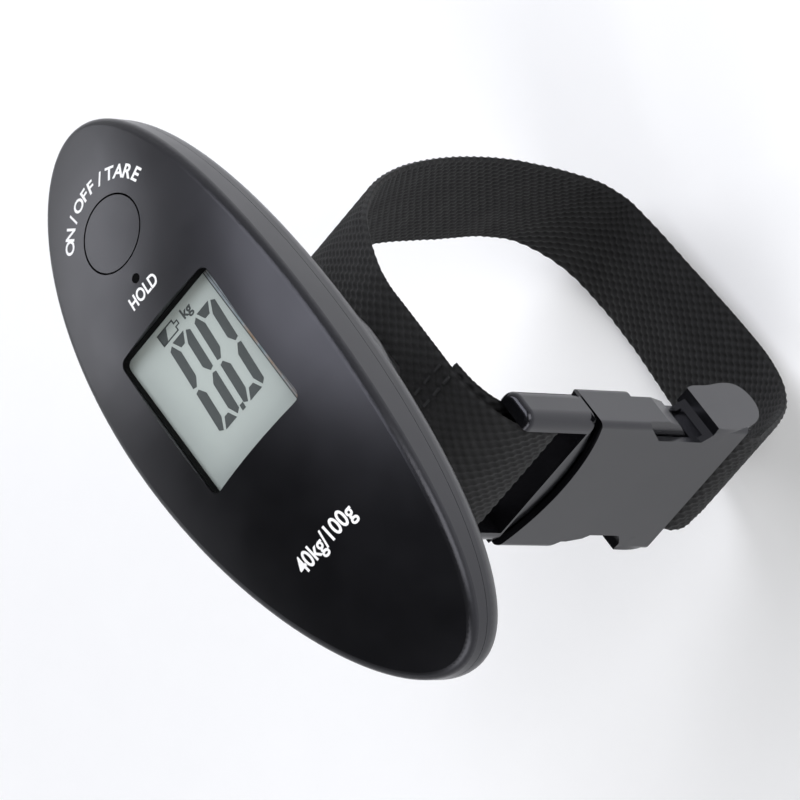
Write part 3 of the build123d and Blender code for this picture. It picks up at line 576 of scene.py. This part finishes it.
def zero_shapes(middle, wide):
    """Outlines of the six lit segments of a slanted seven-segment zero."""
    half = wide / 2
    centre = (DIGIT_LOW + DIGIT_HIGH) / 2
    high = DIGIT_HIGH
    left_upper = [
        (-half, centre + BAR_GAP), (-half + BAR_TIP, centre + BAR_GAP - TIP_RISE),
        (-half + BAR, centre + WAIST), (-half + BAR, high - BAR - BAR_GAP),
        (-half + BAR_TIP, high - TIP_DROP), (-half, high - OUTER_DROP),
    ]
    outer = half - BAR_TIP - TOP_GAP
    inner = half - BAR - CORNER
    top = [(-outer, high), (outer, high), (inner, high - BAR), (-inner, high - BAR)]

    def across(shape):
        return [(-x, y) for x, y in shape]

    def below(shape):
        return [(x, 2 * centre - y) for x, y in shape]

    def placed(shape):
        return [(middle + x + DIGIT_SLANT * (y - centre), y) for x, y in shape]

    left_lower = below(left_upper)
    shapes = [top, across(left_upper), across(left_lower), below(top), left_lower, left_upper]
    return [placed(shape) for shape in shapes]


def battery_mark():
    """Outlines of the battery mark: a frame, the contact at its right and the filled part."""
    left, right, low, high = MARK_LEFT, MARK_RIGHT, MARK_LOW, MARK_HIGH
    tip = right + NUB_OUT
    nub_low = low + NUB_INSET
    nub_high = high - NUB_INSET
    return [
        rectangle(left, low, right, low + MARK_LINE),
        rectangle(left, high - MARK_LINE, right, high),
        rectangle(left, low, left + MARK_LINE, high),
        rectangle(right - MARK_LINE, low, right, nub_low),
        rectangle(right - MARK_LINE, nub_high, right, high),
        rectangle(right - MARK_LINE, nub_low, tip, nub_low + NUB_LINE),
        rectangle(right - MARK_LINE, nub_high - NUB_LINE, tip, nub_high),
        rectangle(tip - NUB_LINE, nub_low, tip, nub_high),
        [(left, low), (left + CHARGE_LOW, low), (left + CHARGE_HIGH, high), (left, high)],
    ]


def make_display(finish):
    dark = finish["segment_dark"]
    field = rectangle(FIELD_LEFT, FIELD_LOW, FIELD_RIGHT, FIELD_HIGH)
    flat_piece("lcd_field", [field], FIELD_BOTTOM, FIELD_TOP, finish["lcd_reflector"])

    digits = [shape for middle, wide in ZEROS for shape in zero_shapes(middle, wide)]
    flat_piece("lcd_digits", digits + [DECIMAL_POINT], SEGMENT_BOTTOM, SEGMENT_TOP, dark)
    flat_piece("lcd_battery_mark", battery_mark(), SEGMENT_BOTTOM, SEGMENT_TOP, dark)

    def beside_mark(x, y):
        return (UNIT_X + x, UNIT_Y + y, SEGMENT_BOTTOM)

    written("lcd_unit_mark", "kg", dark, UNIT_HEIGHT, beside_mark, UNIT_THICK)

    # dark lines of painted shade and pale lines of painted glint, for the reflections in the window's
    # bevelled edge
    shade_lines = [rectangle(left, low, right, EDGE_SHADE_HIGH) for left, right, low in EDGE_SHADE_LINES]
    flat_piece("lcd_edge_painted_shade", shade_lines, SEGMENT_BOTTOM, SEGMENT_TOP, dark)
    glint_lines = [rectangle(left, EDGE_GLINT_LOW, right, EDGE_GLINT_HIGH) for left, right in EDGE_GLINT_LINES]
    flat_piece("lcd_edge_painted_glint", glint_lines, SEGMENT_BOTTOM, SEGMENT_TOP, finish["glass_edge"])
    make_shade_sheet(finish)


def rounded_rectangle(wide, long, corner, steps=6):
    """Points of a rounded rectangle about the display opening's centre."""
    points = []
    for quarter, (sx, sy) in enumerate(((1, 1), (-1, 1), (-1, -1), (1, -1))):
        for k in range(steps + 1):
            angle = math.radians(90 * (quarter + k / steps))
            points.append((sx * (wide / 2 - corner) + corner * math.cos(angle),
                           OPENING_Y + sy * (long / 2 - corner) + corner * math.sin(angle)))
    return points


def make_shade_sheet(finish):
    """Thin near-black matt sheet on the wall of the display opening, as painted shade in the recess."""
    points, faces = [], []
    for inset, corner in ((SHADE_SHEET_GAP, OPENING_ROUND), (SHADE_SHEET_GAP + SHADE_SHEET_THICK, OPENING_ROUND - SHADE_SHEET_THICK)):
        ring = rounded_rectangle(OPENING_WIDE - 2 * inset, OPENING_LONG - 2 * inset, corner)
        points.extend((x, y, WINDOW_TOP + SHADE_SHEET_GAP) for x, y in ring)
        points.extend((x, y, face_height(x, y) - SHADE_SHEET_SINK) for x, y in ring)
    count = len(points) // 4
    for k in range(count):
        n = (k + 1) % count
        faces.append((k, n, count + n, count + k))
        faces.append((2 * count + n, 2 * count + k, 3 * count + k, 3 * count + n))
        faces.append((count + k, count + n, 3 * count + n, 3 * count + k))
        faces.append((n, k, 2 * count + k, 2 * count + n))
    mesh_object("display_shade_sheet", points, faces, finish["liner_black"], "housing", False)


# ---------------------------------------------------------------- printed legends
PRINT_LIFT = 0.01         # of the ink's underside above the face
PRINT_THICK = 0.04
POWER_HEIGHT = 2.5        # height of the capitals in each legend
HOLD_HEIGHT = 2.5
CAPACITY_HEIGHT = 3.1
POWER_RADIUS = 10.2       # from the button's middle to the foot of its legend
POWER_LETTERS = [         # each letter and its direction from the button's middle, in degrees
    ("O", 148), ("N", 136), ("/", 122), ("O", 108.5), ("F", 97), ("F", 87), ("/", 74.5),
    ("T", 62), ("A", 50), ("R", 38), ("E", 26),
]


def on_face(x, y):
    return (x, y, face_height(x, y) + PRINT_LIFT)


def straight(left, foot, squeeze):
    """Bend function of a straight line of type, narrowed by a factor."""
    def bend(x, y):
        return on_face(x * squeeze + left, y + foot)

    return bend


def round_button(degrees, middle):
    """Bend function of one letter of the legend round the button."""
    turn = math.radians(degrees - 90)

    def bend(x, y):
        dx = x - middle
        dy = y + POWER_RADIUS
        return on_face(dx * math.cos(turn) - dy * math.sin(turn),
                       BUTTON_Y + dx * math.sin(turn) + dy * math.cos(turn))

    return bend


def make_legends(finish):
    white = finish["print_white"]
    all_points, all_faces = [], []
    for letter, degrees in POWER_LETTERS:
        points, faces = outline_mesh(letter, POWER_HEIGHT)
        middle = (min(x for x, y in points) + max(x for x, y in points)) / 2
        add_thickness(points, faces, round_button(degrees, middle), PRINT_THICK, all_points, all_faces)
    mesh_object("legend_power", all_points, all_faces, white, "housing", False)

    hold = straight(left=-4.0, foot=23.7, squeeze=0.78)
    written("legend_hold", "HOLD", white, HOLD_HEIGHT, hold, PRINT_THICK)
    capacity = straight(left=-9.4, foot=-35.4, squeeze=0.86)
    written("legend_capacity", "40kg/100g", white, CAPACITY_HEIGHT, capacity, PRINT_THICK)


# ---------------------------------------------------------------- webbing
# Middle line of the webbing as (y, z, lean in degrees). Both start near the clamp: the near
# path ends at the stitched tail round the near bar, the far path at the cut end past the far bar.
NEAR_PATH = [
    (21.0, -44.6, 0), (16.5, CLAMP_Z, 0), (12.5, CLAMP_Z, 0), (9.0, CLAMP_Z, 0),
    (5.0, CLAMP_Z, 0), (1.0, CLAMP_Z, 0), (-3.0, -43.55, 0), (-8.0, -43.9, 0),
    (-13.5, -46.0, 0), (-17.6, -50.2, 0), (-19.2, -55.5, 0), (-19.1, -60.6, 0),
    (-17.9, -62.9, 0), (-16.0, -63.5, 0), (-14.1, -62.7, 0), (-13.2, -60.2, 0),
    (-13.0, -55.0, 0), (-11.6, -50.2, 0), (-7.6, -47.2, 0), (-2.6, -46.1, 0),
]
FAR_PATH = [
    (21.0, -44.6, 0), (25.5, -46.7, 0), (30.5, -49.7, 0), (36.0, -53.8, 0), (41.0, -59.6, 0),
    (45.8, -67.2, 1), (50.0, -76.8, 2), (53.2, -88.0, 3), (55.4, -100.0, 4),
    (56.6, -113.0, 5), (57.0, -126.0, 6), (56.8, -138.0, 8), (54.6, -148.6, 12),
    (49.6, -154.4, 16), (42.0, -156.6, 19), (32.0, -157.4, 20), (22.0, -157.5, 20),
    (12.0, -157.2, 19), (3.0, -156.0, 17), (-3.6, -153.0, 13), (-9.2, -147.6, 9),
    (-13.4, -140.6, 5), (-16.6, -133.4, 2), (-18.9, -127.4, 0), (-18.8, -122.9, 0),
    (-16.2, -121.0, 0), (-13.6, -122.4, 0), (-13.2, -126.0, 0), (-11.8, -131.5, 0),
    (-9.6, -136.5, 0),
]
STATION = 0.40            # of webbing per ring of mesh points
COLUMNS = 74              # mesh faces across the webbing
RIM = 0.7                 # width of the edge that thins
EDGE_SHARE = 0.14         # of the thickness left at the very edge
RELIEF_SINK = 0.4         # share of the weave's wave by which the surface lies lower
FADE = 0.5                # the weave dies out over this distance from the edge
SCALLOP = 0.12            # height of the small bumps along the edge


def stop_slopes(stops, knots):
    """Slope of a smooth curve at each of its (y, z) stops, by distance along it."""
    slopes = []
    last = len(stops) - 1
    for k in range(last + 1):
        if 0 < k < last:
            before = knots[k] - knots[k - 1]
            after = knots[k + 1] - knots[k]
            slopes.append(tuple(
                (after * (stops[k][i] - stops[k - 1][i]) / before
                 + before * (stops[k + 1][i] - stops[k][i]) / after) / (before + after)
                for i in (0, 1)))
        else:
            first, second = max(k - 1, 0), min(k + 1, last)
            span = knots[second] - knots[first]
            slopes.append(tuple((stops[second][i] - stops[first][i]) / span for i in (0, 1)))
    return slopes


def cubic(a, b, slope_a, slope_b, span, t):
    """Value and slope at share t of a cubic that runs from a to b over a span."""
    value = ((2 * t ** 3 - 3 * t ** 2 + 1) * a + (t ** 3 - 2 * t ** 2 + t) * span * slope_a
             + (3 * t ** 2 - 2 * t ** 3) * b + (t ** 3 - t ** 2) * span * slope_b)
    slope = ((6 * t ** 2 - 6 * t) * (a - b) / span + (3 * t ** 2 - 4 * t + 1) * slope_a
             + (3 * t ** 2 - 2 * t) * slope_b)
    return value, slope


def smooth_line(path):
    """Even points on a smooth curve through a path: (y, z), direction, share of its length."""
    stops = [(y, z) for y, z, _ in path]
    knots = [0.0]
    for (y0, z0), (y1, z1) in zip(stops, stops[1:]):
        knots.append(knots[-1] + math.hypot(y1 - y0, z1 - z0))
    length = knots[-1]
    slopes = stop_slopes(stops, knots)
    rows = []
    count = round(length / STATION)
    k = 0
    for n in range(count + 1):
        at = length * n / count
        while k < len(stops) - 2 and at > knots[k + 1]:
            k += 1
        span = knots[k + 1] - knots[k]
        t = (at - knots[k]) / span
        (y, dy), (z, dz) = (
            cubic(stops[k][i], stops[k + 1][i], slopes[k][i], slopes[k + 1][i], span, t)
            for i in (0, 1))
        rows.append(((y, z), (dy, dz), at / length))
    return rows, length


def lean_at(path, share):
    """Lean of a path's webbing about its own line, at a share of its length."""
    spot = share * (len(path) - 1)
    low = min(int(spot), len(path) - 2)
    return path[low][2] + (path[low + 1][2] - path[low][2]) * (spot - low)


def station(y, z, along, lean, distance):
    """Centre, across and up directions and distance of one ring of the webbing."""
    across = Matrix.Rotation(math.radians(lean), 3, along) @ Vector((1, 0, 0))
    up = along.cross(across).normalized()
    return Vector((0, y, z)), across, up, distance


def webbing_stations():
    """Stations of the whole strap, from the stitched tail to the cut end."""
    stations = []
    near, near_long = smooth_line(NEAR_PATH)
    for (y, z), (dy, dz), share in reversed(near):
        along = Vector((0, -dy, -dz)).normalized()
        stations.append(station(y, z, along, 0.0, (1 - share) * near_long))
    far, far_long = smooth_line(FAR_PATH)
    for (y, z), (dy, dz), share in far[1:]:
        along = Vector((0, dy, dz)).normalized()
        stations.append(station(y, z, along, lean_at(FAR_PATH, share), near_long + share * far_long))
    return stations


def half_thickness(inside):
    """Half the webbing's thickness at a distance in from its edge."""
    half = WEB_THICK / 2
    if inside >= RIM:
        return half
    roundness = math.sqrt(max(0.0, 1 - (1 - inside / RIM) ** 2))
    return half * (roundness * (1 - EDGE_SHARE) + EDGE_SHARE)


def make_webbing(finish):
    """The strap as one closed skin with the relief of its weave, in place of the CAD's."""
    half = WEB_WIDE / 2
    columns = [-half + WEB_WIDE * k / COLUMNS for k in range(COLUMNS + 1)]
    ring = [(v, 1) for v in columns] + [(v, -1) for v in reversed(columns)]
    count = len(ring)
    points, faces, weave_places = [], [], []
    stations = webbing_stations()
    for centre, across, up, distance in stations:
        beat = math.cos(2 * math.pi * distance / FLOAT_LONG)
        for v, side in ring:
            inside = half - abs(v)
            fade = min(1.0, inside / FADE)
            weave = FLOAT_RISE * beat * math.cos(2 * math.pi * v / FLOAT_WIDE) * side
            lift = half_thickness(inside) - FLOAT_RISE * RELIEF_SINK + weave * fade
            wave = SCALLOP * beat * (1 - fade)
            points.append(centre + across * (v + math.copysign(wave, v)) + up * (side * lift))
            weave_places.append((v * MM, distance * MM))
    for n in range(len(stations) - 1):
        for k in range(count):
            a = n * count + k
            b = n * count + (k + 1) % count
            faces.append((a, a + count, b + count, b))
    end = (len(stations) - 1) * count
    faces.append(list(range(count)))
    faces.append([end + k for k in range(count - 1, -1, -1)])
    material = finish["webbing_black"]
    piece = mesh_object("webbing_strap", points, faces, material, "strap", True)
    layer = piece.data.uv_layers.new(name="weave")
    for loop in piece.data.loops:
        layer.data[loop.index].uv = weave_places[loop.vertex_index]
    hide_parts("webbing")


# ---------------------------------------------------------------- carried-over CAD nodes
def dress_nodes(finish):
    """Gives every CAD node the finish of each of its material slots."""
    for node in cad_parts.values():
        for place in node.material_slots:
            place.material = finish[place.material.name.split(".")[0]]


make_camera()
FINISH = make_materials()
make_floor()
make_light()
dress_nodes(FINISH)
make_display(FINISH)
make_legends(FINISH)
make_webbing(FINISH)
